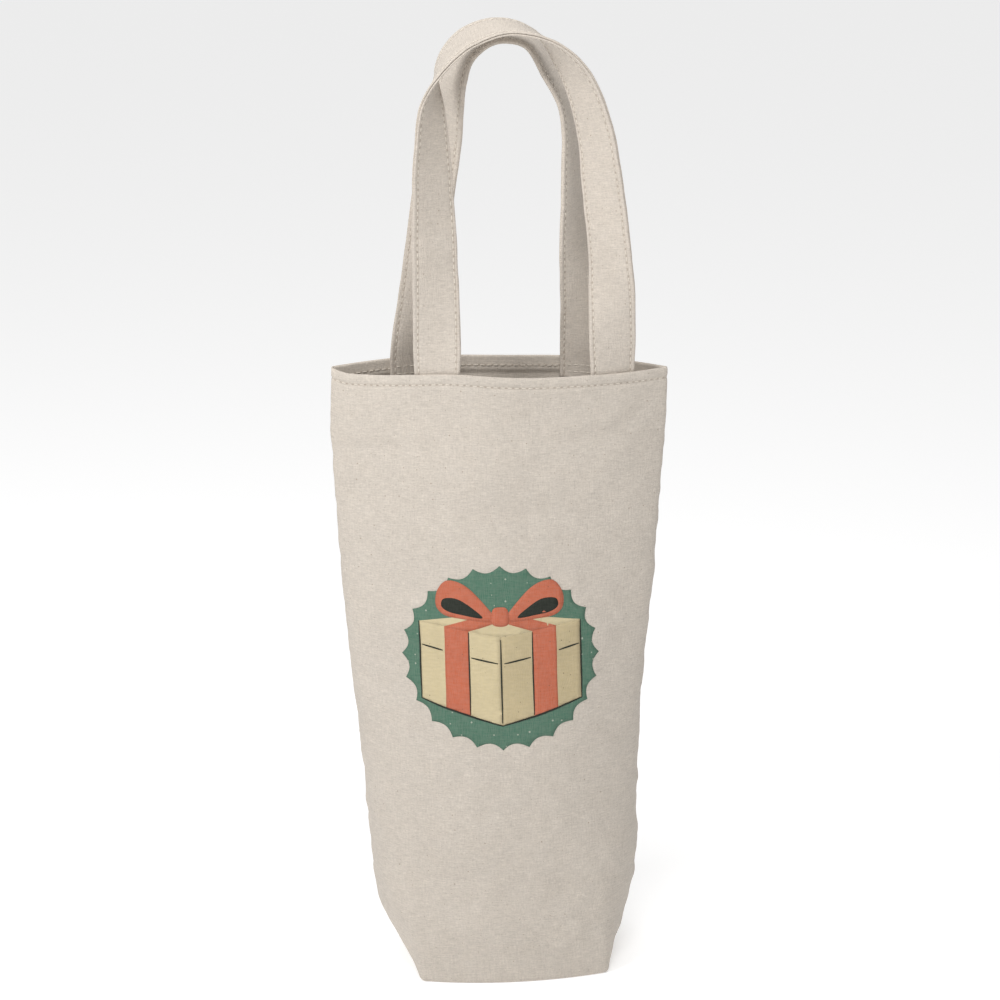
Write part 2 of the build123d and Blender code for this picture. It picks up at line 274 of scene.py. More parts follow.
# === The bag's surface =====================================
def arc(start, end, bulge, count):
    """Points on an arc from start to end that bulges to the right of its way."""
    start, end = np.array(start), np.array(end)
    half = np.linalg.norm(end - start) / 2
    way = (end - start) / (2 * half)
    out = np.array([way[1], -way[0]])
    reach = 2 * math.atan2(bulge, half)
    radius = half / math.sin(reach)
    turns = np.linspace(-reach, reach, count, endpoint=False)[:, None]
    middle = (start + end) / 2 - out * radius * math.cos(reach)
    return middle + way * radius * np.sin(turns) + out * radius * np.cos(turns)


def even_loop(points, count):
    """A closed loop of evenly spaced points along given ones, and its length."""
    closed = np.vstack([points, points[:1]])
    way = np.append(0, np.cumsum(np.linalg.norm(np.diff(closed, axis=0), axis=1)))
    at = np.linspace(0, way[-1], count, endpoint=False)
    return np.stack([np.interp(at, way, closed[:, axis]) for axis in (0, 1)], 1), way[-1]


def column_places():
    """The columns' places along the cloth in mm from the left seam, closer by both seams."""
    near = [0, 0.35, 0.7, 1.1, 1.6, 2.3, 3.2, 4.3, 5.6, 7.0]
    quarter = np.concatenate([near, np.linspace(8.5, GIRTH / 4, 51)])
    half = np.concatenate([quarter, GIRTH / 2 - quarter[-2:0:-1]])
    return np.concatenate([half, half + GIRTH / 2])


COLUMNS = column_places()
OUTLINE_POINTS = 1200
ARC_POINTS = 90


def section(height):
    """The bag's outline at a height: points at the columns, and their outward normals."""
    half_width, half_depth, front, side = smooth_curve(
        [row[0] for row in OUTLINES], [row[1:] for row in OUTLINES], height)
    corners = [(-half_width, -half_depth), (half_width, -half_depth),
               (half_width, half_depth), (-half_width, half_depth)]
    bulges = [front, side, front, side]
    loop = np.vstack([
        arc(corners[number], corners[(number + 1) % 4], bulges[number], ARC_POINTS) for number in range(4)])
    loop, length = even_loop(loop, OUTLINE_POINTS)
    left_side = arc(corners[3], corners[0], side, ARC_POINTS)
    side_arc = len(loop) * np.linalg.norm(np.diff(left_side, axis=0), axis=1).sum()
    softness = curve_of(CORNER_SOFTNESS, height)
    waves = np.fft.fftfreq(OUTLINE_POINTS, length / OUTLINE_POINTS)
    spread = np.exp(-2 * (np.pi * waves * softness) ** 2)
    path = np.fft.ifft(np.fft.fft(loop[:, 0] + 1j * loop[:, 1]) * spread)
    tangent = np.roll(path, -1) - np.roll(path, 1)
    normal = tangent * -1j / np.abs(tangent)
    places = (COLUMNS / GIRTH * OUTLINE_POINTS - side_arc / length / 2) % OUTLINE_POINTS
    index = np.arange(OUTLINE_POINTS + 1)
    picked = [np.interp(places, index, np.append(values, values[0]))
              for values in (path.real, path.imag, normal.real, normal.imag)]
    return np.stack(picked[:2], 1), unit(np.stack(picked[2:], 1))


def from_front(u):
    """Distance along the cloth from the front's centre line, right positive."""
    return (u - GIRTH / 4 + GIRTH / 2) % GIRTH - GIRTH / 2


def from_seam(u):
    """Distance along the cloth to the nearer side seam."""
    return np.abs((u + GIRTH / 4) % (GIRTH / 2) - GIRTH / 4)


# Creases that the cloth keeps: place from the front's centre line, height, half length,
# half width, slope in degrees, and depth. A negative depth stands out.
CREASES = [
    (-76.0, RIM - 6.5, 5.0, 1.0, 50, 0.7),
    (-22.0, RIM - 3.0, 9.0, 1.3, 3, 0.45),
    (-30.0, RIM - 8.5, 14.0, 1.6, -4, 0.35),
    (50.0, RIM - 3.4, 8.0, 1.3, -12, 0.6),
    (60.0, RIM - 5.4, 8.0, 1.2, 8, 0.5),
    (43.0, RIM - 13.0, 12.0, 3.0, -35, 0.5),
    (62.0, RIM - 24.0, 16.0, 4.0, 40, 0.6),
    (-58.0, RIM - 36.0, 26.0, 3.5, 2, 0.7),
    (-70.0, RIM - 58.0, 14.0, 4.0, 62, 0.7),
    (38.0, RIM - 34.0, 18.0, 5.0, 25, 0.5),
    (22.0, RIM - 66.0, 20.0, 5.0, 12, 0.4),
    (-22.0, 54.0, 14.0, 3.4, 2, 0.5),
    (-30.0, 42.0, 12.0, 3.0, -4, 0.45),
    (-34.0, 34.0, 9.0, 2.4, 4, 0.35),
    (20.0, 40.0, 20.0, 5.0, 32, 0.45),
    (34.0, 26.0, 16.0, 4.0, 38, -0.6),
    (118.0, 200.0, 30.0, 6.0, 28, 0.7),
    (-120.0, 150.0, 34.0, 7.0, -24, 0.6),
    (150.0, 90.0, 26.0, 6.0, 12, 0.5),
    (-160.0, 236.0, 24.0, 5.0, -14, 0.5),
]


# The cloth's soft waves: depth, extra depth low on the bag, size across and along, and seed.
WAVES = [(0.85, 0, 90, 120, 11), (0.34, 0.16, 34, 22, 23), (0.09, 0, 13, 8, 37)]


def folds(u, height):
    """How far the cloth stands out from its even outline."""
    low_part = 1 - ease(height, 60, 150)
    out = 0.0
    for depth, low_depth, across, along, seed in WAVES:
        out = out + (depth + low_depth * low_part) * ripples(u, height, across, along, seed)
    for place, middle, half_length, half_width, slope, depth in CREASES:
        over = (from_front(u) - place + GIRTH / 2) % GIRTH - GIRTH / 2
        up = height - middle
        turn = math.radians(slope)
        along = over * math.cos(turn) + up * math.sin(turn)
        across = up * math.cos(turn) - over * math.sin(turn)
        valley = bell(across, half_width) - 0.55 * bell(across - 1.7 * half_width, half_width)
        out = out - depth * valley * bell(along, half_length)
    held = ease(height, 0, 14) * (1 - 0.75 * ease(height, RIM - 30, RIM - 3))
    return out * held


# What a seam and the hem's stitch row do to the cloth: how far it stands out, how much that
# comes and goes along the sewing, the distance from the sewing, and the half width.
SEAM_SHAPE = [(-0.75, -0.15, 0.0, 0.75), (0.0, 0.16, 3.0, 2.2)]
HEM_SHAPE = [(-0.34, 0.10, 0.0, 0.9), (0.20, 0.20, 2.4, 1.5), (0.12, 0.16, -2.4, 1.8)]
PUCKER_PITCH = 6.3


def sewing(u, height):
    """The dips that stitches pull into the bag's outer face."""
    seam = from_seam(u)
    waver = 2.2 * ripples(u, height, 60, 25, seed=5)
    puckers = 0.5 + 0.5 * np.cos(2 * np.pi * height / PUCKER_PITCH + waver)
    ticks = np.cos(2 * np.pi * u * round(GIRTH / STITCH_PITCH) / GIRTH)
    gathers = ripples(u, 0 * height, 7.5, 30, seed=71)
    out = 0.0
    for depth, change, place, width in SEAM_SHAPE:
        out = out + (depth + change * puckers) * bell(seam - place, width)
    for depth, change, place, width in HEM_SHAPE:
        wave = gathers if place else ticks
        out = out + (depth + change * wave) * bell(height - HEM_ROW - place, width)
    return out


# How the rim rises and sags along the front and the back, from the front's centre line.
FRONT_RIM = [(-85.75, -0.3), (-78, -2.0), (-65, -1.6), (-42, 0.2), (-22, 1.5), (0, 0.5), (14, 0.0),
             (40, 0.0), (62, -0.2), (85.75, 0.0)]
REAR_RIM = [(-85.75, 0.0), (-45, 0.9), (0, 0.0), (42, 0.9), (85.75, 0.0)]


def rim_rise(u):
    """How far the rim stands over its mean height."""
    place = from_front(u)
    front = curve_of(FRONT_RIM, place)
    back = curve_of(REAR_RIM, (place + GIRTH) % GIRTH - GIRTH / 2)
    return np.where(np.abs(place) <= GIRTH / 4, front, back)


WALL_HEIGHTS = np.concatenate([
    np.linspace(0, 6, 7), np.arange(7.8, RIM - 12.4, 1.95), np.arange(RIM - 12, RIM + 0.1, 0.75)])


def wall_grid():
    """The bag's outer face as a grid of points, rows by height and columns round it."""
    sections = [section(height) for height in WALL_HEIGHTS]
    flat = np.stack([points for points, _ in sections])
    normal = np.stack([directions for _, directions in sections])
    u, height = np.meshgrid(COLUMNS, WALL_HEIGHTS)
    flat = flat + normal * folds(u, height)[..., None]
    turn = np.radians(BASE_TURN) * (1 - ease(height, 0, TURN_FADES))
    x = flat[..., 0] * np.cos(turn) - flat[..., 1] * np.sin(turn) + curve_of(LEAN, height)
    y = flat[..., 0] * np.sin(turn) + flat[..., 1] * np.cos(turn)
    z = height + rim_rise(u) * ease(height, RIM - 120, RIM)
    return np.stack([x, y, z], -1)


def grid_normals(grid):
    """Outward unit normals of a wall grid."""
    round_it = np.roll(grid, -1, 1) - np.roll(grid, 1, 1)
    upward = np.gradient(grid, axis=0)
    return unit(np.cross(round_it, upward))


PLAIN_WALL = wall_grid()
PLAIN_NORMALS = grid_normals(PLAIN_WALL)
SEWN_WALL = PLAIN_WALL + PLAIN_NORMALS * sewing(*np.meshgrid(COLUMNS, WALL_HEIGHTS))[..., None]


def on_rows(grid, heights):
    """A wall grid's rows at other heights."""
    place = np.interp(heights, WALL_HEIGHTS, np.arange(len(WALL_HEIGHTS)))
    low = np.minimum(place.astype(int), len(WALL_HEIGHTS) - 2)
    share = (place - low)[:, None, None]
    return grid[low] * (1 - share) + grid[low + 1] * share


def on_bag(across, height, lift=0.0):
    """Points on the bag's outer face, at distances from the front's centre line and at heights,
    lifted off it, with the normals there."""
    u = (np.asarray(across, float) + GIRTH / 4) % GIRTH
    height = np.asarray(height, float) + 0 * u
    row = np.interp(height, WALL_HEIGHTS, np.arange(len(WALL_HEIGHTS)))
    column = np.interp(u, np.append(COLUMNS, GIRTH), np.arange(len(COLUMNS) + 1))
    low, left = np.minimum(row.astype(int), len(WALL_HEIGHTS) - 2), column.astype(int) % len(COLUMNS)
    up, right = (row - low)[..., None], (column - np.floor(column))[..., None]
    beside = (left + 1) % len(COLUMNS)

    def mixed(grid):
        bottom = grid[low, left] * (1 - right) + grid[low, beside] * right
        top = grid[low + 1, left] * (1 - right) + grid[low + 1, beside] * right
        return bottom * (1 - up) + top * up

    normals = unit(mixed(PLAIN_NORMALS))
    return mixed(SEWN_WALL) + normals * np.asarray(lift, float)[..., None], normals


# === A strap's section =====================================
def strap_half_thickness(over, length):
    """Half the strap's thickness at a distance over from its middle line."""
    half = STRAP_THICK / 2
    row = np.abs(over) - (STRAP_WIDTH / 2 - EDGE_ROW)
    ticks = 0.5 - 0.5 * np.cos(2 * np.pi * length / STITCH_PITCH)
    return half * (1 - (0.20 + 0.10 * ticks) * bell(row, 0.75) + 0.05 * (1 - (2 * over / STRAP_WIDTH) ** 2))


def strap_section(length):
    """The strap's outline across it at each length: over and lift, starting by the open
    edge, where two folded layers lie on each other. The other edge is one fold."""
    half_width = STRAP_WIDTH / 2
    row = half_width - EDGE_ROW
    top = np.concatenate([
        [-half_width + 0.55], np.linspace(-row - 1.2, -row + 1.2, 5), np.linspace(-row + 3, row - 3, 8),
        np.linspace(row - 1.2, row + 1.2, 5)])
    turns = np.linspace(math.pi / 2, -math.pi / 2, 9)[1:-1]
    bend = [(half_width - 0.95 + 0.95 * math.cos(turn), math.sin(turn)) for turn in turns]
    lip = np.linspace(-math.pi / 2, math.pi / 2, 5)[1:-1]
    lower = [(-half_width + 0.5 - 0.5 * math.cos(turn), -0.5 + 0.42 * math.sin(turn)) for turn in lip]
    upper = [(over, lift + 1.0) for over, lift in lower]
    overs = [*top] + [over for over, _ in bend] + [*top[::-1]]
    lifts = [1.0] * len(top) + [lift for _, lift in bend] + [-1.0] * len(top)
    overs += [over for over, _ in lower] + [-half_width + 1.1] + [over for over, _ in upper]
    lifts += [lift for _, lift in lower] + [0.0] + [lift for _, lift in upper]
    overs, lifts = np.array(overs)[None], np.array(lifts)[None]
    thick = strap_half_thickness(np.clip(overs, -half_width + 0.5, half_width - 0.5), length[:, None])
    return overs + 0 * thick, lifts * thick


def strap_row_places():
    """The stitch rows' places round the strap's section, in mm from its first point."""
    overs, lifts = strap_section(np.array([STITCH_PITCH / 4]))
    ring = np.stack([overs[0], lifts[0]], 1)[::-1]
    way = np.append(0, np.cumsum(np.linalg.norm(np.diff(ring, axis=0), axis=1)))
    row = STRAP_WIDTH / 2 - EDGE_ROW
    return [float(way[np.hypot(ring[:, 0] - over, ring[:, 1] - lift).argmin()])
            for over in (-row, row) for lift in (-STRAP_THICK / 2, STRAP_THICK / 2)]


# === Materials =============================================
def put(tree, socket, value):
    """Links a socket, or sets its value."""
    if isinstance(value, bpy.types.NodeSocket):
        tree.links.new(value, socket)
    else:
        socket.default_value = value


def node(tree, kind, settings=None, **inputs):
    """A new node, with inputs named by their socket or by its number after an underscore."""
    made = tree.nodes.new(kind)
    for name, value in (settings or {}).items():
        setattr(made, name, value)
    for name, value in inputs.items():
        key = int(name[1:]) if name.startswith("_") else name.replace("__", " ")
        put(tree, made.inputs[key], value)
    return made


def math_node(tree, operation, first, second=0.0, third=0.0):
    return node(tree, "ShaderNodeMath", {"operation": operation}, _0=first, _1=second, _2=third).outputs[0]


def noise(tree, place, size, stretch=(1, 1), detail=3.0, roughness=0.55):
    """Noise from 0 to 1 whose features are about size mm, stretched along the cloth."""
    scale = [1 / (MM * size * stretch[0]), 1 / (MM * size * stretch[1]), 1]
    spread = node(tree, "ShaderNodeMapping", Vector=place, Scale=scale).outputs[0]
    return node(tree, "ShaderNodeTexNoise", {"noise_dimensions": "2D"}, Vector=spread, Scale=1.0,
                Detail=detail, Roughness=roughness).outputs["Fac"]


def specks(tree, place, spacing, size, share):
    """1 in a few small specks and 0 elsewhere."""
    cells = node(tree, "ShaderNodeTexVoronoi", {"voronoi_dimensions": "2D"}, Vector=place,
                 Scale=1 / (MM * spacing), Randomness=1.0)
    chance = node(tree, "ShaderNodeSeparateColor", _0=cells.outputs["Color"])
    picked = math_node(tree, "LESS_THAN", chance.outputs[0], share)
    reach = math_node(tree, "MULTIPLY", chance.outputs[1], size / spacing)
    inside = node(tree, "ShaderNodeMapRange", {"interpolation_type": "SMOOTHSTEP"},
                  _0=math_node(tree, "SUBTRACT", cells.outputs["Distance"], reach),
                  _1=0.0, _2=0.25 * size / spacing, _3=1.0, _4=0.0).outputs[0]
    return math_node(tree, "MULTIPLY", picked, inside)


def mix_colours(tree, share, first, second, blend="MIX"):
    made = node(tree, "ShaderNodeMix", {"data_type": "RGBA", "blend_type": blend})
    put(tree, made.inputs[0], share)
    put(tree, made.inputs[6], first)
    put(tree, made.inputs[7], second)
    return made.outputs[2]


def tinted(tree, colour, noise_value, amount):
    """A colour made lighter and darker by noise, by up to about amount."""
    gain = math_node(tree, "MULTIPLY_ADD", noise_value, 2 * amount, 1 - amount)
    grey = node(tree, "ShaderNodeCombineColor", _0=gain, _1=gain, _2=gain).outputs[0]
    return mix_colours(tree, 1.0, colour, grey, "MULTIPLY")


def grained(tree, place, colour, grain):
    """A colour tinted by layers of noise: size, stretch, detail and amount for each."""
    for size, stretch, detail, amount in grain:
        colour = tinted(tree, colour, noise(tree, place, size, stretch, detail), amount)
    return colour


def finish_surface(tree, shader, shade, height, roughness, bump):
    """Gives a shader its colour, its roughness (where the height is 0, and its change to 1)
    and its bump (strength, and depth in mm)."""
    tree.links.new(shade, shader.inputs["Base Color"])
    rough = math_node(tree, "MULTIPLY_ADD", height, roughness[1], roughness[0])
    tree.links.new(rough, shader.inputs["Roughness"])
    raised = node(tree, "ShaderNodeBump", Strength=bump[0], Distance=bump[1] * MM, Height=height)
    tree.links.new(raised.outputs[0], shader.inputs["Normal"])


THREADS_ACROSS = 0.78        # spacing of the canvas's upright threads
THREADS_UP = 0.66            # spacing of its level threads


def weave(tree, place):
    """The canvas's height from 0 to 1: a plain weave of slightly uneven threads."""
    wobble = noise(tree, place, 9.0, detail=1.0)
    over = node(tree, "ShaderNodeSeparateXYZ", Vector=place)
    waves = []
    for axis, pitch in ((0, THREADS_ACROSS), (1, THREADS_UP)):
        turns = math_node(tree, "MULTIPLY_ADD", over.outputs[axis], math.pi / (MM * pitch),
                          math_node(tree, "MULTIPLY", wobble, 9.0))
        waves.append(math_node(tree, "ABSOLUTE", math_node(tree, "SINE", turns)))
    knots = math_node(tree, "POWER", math_node(tree, "MULTIPLY", *waves), 0.6)
    level = noise(tree, place, 0.8, stretch=(6.0, 1.0), detail=2.0)
    upright = noise(tree, place, 0.9, stretch=(1.0, 5.0), detail=2.0)
    slubs = math_node(tree, "ADD", level, upright)
    return math_node(tree, "MULTIPLY_ADD", slubs, 0.55, math_node(tree, "MULTIPLY", knots, 0.45))


def new_material(name):
    """An empty material with a Principled shader, its tree, and the cloth's UV place."""
    material = bpy.data.materials.new(name)
    material.use_nodes = True
    tree = material.node_tree
    shader = next(n for n in tree.nodes if n.type == "BSDF_PRINCIPLED")
    place = node(tree, "ShaderNodeUVMap", {"uv_map": "cloth"}).outputs[0]
    return material, tree, shader, place


CANVAS_GRAIN = [(26.0, (1, 1), 2, 0.05), (0.6, (8, 1), 3, 0.17), (0.42, (3, 1), 2, 0.16),
                (0.9, (1, 4), 2, 0.08), (3.2, (2.6, 1), 3, 0.045)]
INK_GRAIN = [(15.0, (1, 1), 2, 0.08), (1.2, (3, 1), 3, 0.12)]
FLECKS = [(7.5, 0.33, 0.34, 0.5), (2.5, 0.22, 0.26, 0.4)]  # spacing, size, share and strength
FLECK_COLOUR = (0.20, 0.13, 0.075, 1)
BLOTCH_COLOUR = (0.93, 0.82, 0.66, 1)
# Painted shade in the grooves and needle holes of stitch rows: its colour, reach and strengths.
PAINTED_SHADE_COLOUR = (0.22, 0.16, 0.11, 1)
PAINTED_SHADE_REACH = 0.85          # how far the painted shade of a stitch row's groove reaches to each side
SHADE_PAINTED_IN_GROOVES = 0.16
SHADE_PAINTED_IN_HOLES = 0.34


def shade_painted_at_stitches(tree, place, rows, across, pitch):
    """Painted shade: how dark the canvas is painted in the groove and needle holes of stitch rows,
    at places in mm along one axis of the cloth. Holes follow one another along the other axis."""
    over = node(tree, "ShaderNodeSeparateXYZ", Vector=place)
    total = 0.0
    for row in rows:
        away = math_node(tree, "ABSOLUTE", math_node(tree, "SUBTRACT", over.outputs[across], row * MM))
        groove = node(tree, "ShaderNodeMapRange", {"interpolation_type": "SMOOTHSTEP"}, _0=away,
                      _1=0.0, _2=PAINTED_SHADE_REACH * MM, _3=1.0, _4=0.0).outputs[0]
        total = math_node(tree, "ADD", groove, total)
    turns = math_node(tree, "MULTIPLY", over.outputs[1 - across], 2 * math.pi / (MM * pitch))
    hole = math_node(tree, "MULTIPLY_ADD", math_node(tree, "COSINE", turns), 0.5, 0.5)
    depth = math_node(tree, "MULTIPLY_ADD", math_node(tree, "POWER", hole, 3.0), SHADE_PAINTED_IN_HOLES, SHADE_PAINTED_IN_GROOVES)
    return math_node(tree, "MULTIPLY", total, depth)


def canvas(name, colour, rows=(), across=0, pitch=STITCH_PITCH):
    """Unbleached plain-weave canvas with seed flecks, slubs and faint blotches, with shade
    painted along the rows where it is sewn."""
    material, tree, shader, place = new_material(name)
    height = weave(tree, place)
    shade = grained(tree, place, colour, CANVAS_GRAIN)
    shade = tinted(tree, shade, height, 0.10)
    blotch = math_node(tree, "MULTIPLY", noise(tree, place, 11.0, detail=2.0), 0.08)
    shade = mix_colours(tree, blotch, shade, BLOTCH_COLOUR, "MULTIPLY")
    for spacing, size, share, strength in FLECKS:
        spots = math_node(tree, "MULTIPLY", specks(tree, place, spacing, size, share), strength)
        shade = mix_colours(tree, spots, shade, FLECK_COLOUR)
    # Painted shade along the stitch rows, in their grooves and needle holes.
    if rows:
        sewn = shade_painted_at_stitches(tree, place, rows, across, pitch)
        shade = mix_colours(tree, sewn, shade, PAINTED_SHADE_COLOUR)
    finish_surface(tree, shader, shade, height, (0.97, -0.12), (0.6, 0.34))
    shader.inputs["Specular IOR Level"].default_value = 0.25
    shader.inputs["Sheen Weight"].default_value = 0.08
    shader.inputs["Sheen Roughness"].default_value = 0.6
    return material


def thread(name, colour):
    """Twisted cotton sewing thread."""
    material, tree, shader, place = new_material(name)
    over = node(tree, "ShaderNodeSeparateXYZ", Vector=place)
    turns = math_node(tree, "ADD", over.outputs[0], over.outputs[1])
    twist = math_node(tree, "SINE", math_node(tree, "MULTIPLY", turns, 2 * math.pi / (MM * 0.45)))
    ply = math_node(tree, "MULTIPLY_ADD", twist, 0.5, 0.5)
    finish_surface(tree, shader, tinted(tree, colour, ply, 0.10), ply, (0.8, -0.1), (0.6, 0.08))
    shader.inputs["Sheen Weight"].default_value = 0.1
    return material


def ink(name, colour, speck, speck_size, worn_share=0.1):
    """Screen-print ink that sits in the weave, worn thin on its high threads, with specks."""
    material, tree, shader, place = new_material(name)
    height = weave(tree, place)
    shade = grained(tree, place, colour, INK_GRAIN)
    spots = specks(tree, place, 5.5, speck_size, 0.45)
    shade = mix_colours(tree, math_node(tree, "MULTIPLY", spots, 0.7), shade, speck)
    worn = node(tree, "ShaderNodeMapRange", _0=height, _1=0.62, _2=0.85, _3=0.0, _4=worn_share).outputs[0]
    shade = mix_colours(tree, worn, shade, BARE_CANVAS)
    finish_surface(tree, shader, shade, height, (0.85, -0.15), (0.4, 0.28))
    shader.inputs["Specular IOR Level"].default_value = 0.3
    return material


# Where the stitch rows lie on the cloth's own flat coordinates, for the shade painted along them.
SHELL_TOP = RIM - BASE_ROUND + BASE_ROUND * math.pi / 2 - HEM_THICK / 2
HEM_ROWS = (SHELL_TOP - (RIM - HEM_THICK / 2 - HEM_ROW),
            SHELL_TOP + HEM_THICK / 2 * math.pi + (RIM - HEM_THICK / 2 - HEM_ROW))
STRAP_ROWS = strap_row_places()

BARE_CANVAS = (0.527, 0.477, 0.420, 1)
plain_canvas = canvas("plain_canvas", BARE_CANVAS)
bag_canvas = canvas("bag_canvas", BARE_CANVAS, HEM_ROWS, 1, GIRTH / round(GIRTH / STITCH_PITCH))
strap_canvas = canvas("strap_canvas", (0.522, 0.470, 0.413, 1), STRAP_ROWS, 0, STITCH_PITCH)
cotton = thread("cotton_thread", (0.70, 0.645, 0.565, 1))
ink_green = ink("ink_green", (0.060, 0.150, 0.100, 1), (0.45, 0.48, 0.40, 1), 0.5)
ink_cream = ink("ink_cream", (0.56, 0.47, 0.285, 1), (0.10, 0.07, 0.03, 1), 0.28)
ink_shade = ink("ink_cream_shaded", (0.47, 0.385, 0.225, 1), (0.10, 0.07, 0.03, 1), 0.28)
ink_red = ink("ink_red", (0.47, 0.115, 0.055, 1), (0.13, 0.05, 0.03, 1), 0.24)
ink_dark = ink("ink_dark", (0.014, 0.018, 0.012, 1), (0.06, 0.07, 0.05, 1), 0.2, worn_share=0.02)


# === The bag's shell =======================================
def bag_profile():
    """The shell's way from the base's edge up outside, over the rim and down inside: a
    height, a depth into the cloth and a share of the outer face's sewing for each row."""
    rows = []
    for turn in np.linspace(0, math.pi / 2, 6)[:-1]:
        rows.append((BASE_ROUND * (1 - math.cos(turn)), BASE_ROUND * (1 - math.sin(turn)), 1))
    half = HEM_THICK / 2
    outside = WALL_HEIGHTS[(WALL_HEIGHTS > BASE_ROUND) & (WALL_HEIGHTS < RIM - half)]
    rows += [(height, 0, 1) for height in outside]
    for turn in np.linspace(0, math.pi, 9):
        rows.append((RIM - half + half * math.sin(turn), half * (1 - math.cos(turn)), 1 - turn / math.pi))
    hem_foot = RIM - HEM_DEPTH
    inside = WALL_HEIGHTS[(WALL_HEIGHTS > hem_foot + 1.1) & (WALL_HEIGHTS < RIM - half)]
    rows += [(height, HEM_THICK, 0) for height in inside[::-1]]
    step = HEM_THICK - CLOTH
    for share, rise in ((0.06, 1.0), (0.3, 0.4), (0.7, -0.4), (0.94, -1.0), (1.0, -1.4)):
        rows.append((hem_foot + rise, HEM_THICK - share * step, 0))
    wall = WALL_HEIGHTS[(WALL_HEIGHTS > CLOTH + BASE_ROUND) & (WALL_HEIGHTS < hem_foot - 1.6)]
    rows += [(height, CLOTH, 0) for height in wall[::-1]]
    inner_round = BASE_ROUND - CLOTH
    for turn in np.linspace(math.pi / 2, 0, 5)[1:]:
        rise, depth = 1 - math.cos(turn), 1 - math.sin(turn)
        rows.append((CLOTH + inner_round * rise, CLOTH + inner_round * depth, 0))
    return np.array(rows)


FLOOR_SHARES = np.array([0.03, 0.12, 0.25, 0.4, 0.55, 0.7, 0.82, 0.91, 0.965])


def floor_rows(edge, shares, rise):
    """Rows of the floor between its middle and its edge."""
    middle = edge.mean(0)
    rows = middle + (edge - middle) * shares[:, None, None]
    rows[..., 2] = edge[..., 2] + rise * (1 - shares[:, None] ** 2) ** 2
    return rows


def make_bag():
    """The bag's cloth, with its turned hem, as one closed shell."""
    profile = bag_profile()
    heights, depths, shares = profile.T
    plain, sewn = on_rows(PLAIN_WALL, heights), on_rows(SEWN_WALL, heights)
    face = plain + (sewn - plain) * shares[:, None, None]
    wall = face - on_rows(PLAIN_NORMALS, heights) * depths[:, None, None]
    under = floor_rows(wall[0], FLOOR_SHARES, FLOOR_RISE)
    inner = floor_rows(wall[-1], FLOOR_SHARES[::-1], FLOOR_RISE)
    rows = np.concatenate([under, wall, inner])
    count = len(COLUMNS)
    faces = ring_faces(len(rows), count)
    points = rows.reshape(-1, 3)
    ends = np.array([under[0].mean(0), inner[-1].mean(0)])
    last = len(rows) - 1
    fans = [[len(points), (column + 1) % count, column] for column in range(count)]
    fans += [[len(points) + 1, last * count + column, last * count + (column + 1) % count]
             for column in range(count)]

    # The walls' UV is the flat cloth; the floor's is its place seen from above.
    way = np.append(0, np.cumsum(np.hypot(np.diff(heights), np.diff(depths))))
    around = np.append(COLUMNS, GIRTH)
    uvs = np.zeros((len(rows) - 1, count, 4, 2))
    row_way = np.concatenate([np.zeros(len(under)), way, np.full(len(inner), way[-1])])
    uvs[..., 0, 0] = uvs[..., 3, 0] = around[:-1][None]
    uvs[..., 1, 0] = uvs[..., 2, 0] = around[1:][None]
    uvs[..., 0, 1] = uvs[..., 1, 1] = row_way[:-1, None]
    uvs[..., 2, 1] = uvs[..., 3, 1] = row_way[1:, None]
    level = np.r_[0:len(under), len(rows) - 1 - len(inner):len(rows) - 1]
    corners = faces.reshape(len(rows) - 1, count, 4)[level]
    uvs[level] = points[corners][..., :2]
    fan_uvs = [(points[corner] if corner < len(points) else ends[corner - len(points)])[:2]
               for fan in fans for corner in fan]
    flat = np.vstack([uvs.reshape(-1, 2), fan_uvs]) * MM
    return make_piece("canvas_bag", np.vstack([points, ends]), faces.tolist() + fans, flat, bag_canvas)


bag = make_bag()
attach(bag, "bag")
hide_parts("bag_cloth", "turned_hem")


# === Straps ================================================
def rim_seat(x, side, inset):
    """Where a strap's leg stands behind the front (side -1) or rear (side 1) rim."""
    width, corner, bulge = OUTLINES[-1][1:4]
    radius = (width ** 2 + bulge ** 2) / (2 * bulge)
    y = side * (math.sqrt((radius - inset) ** 2 - x ** 2) - (radius - corner - bulge))
    return x, y, math.degrees(math.asin(x / (radius - inset)))


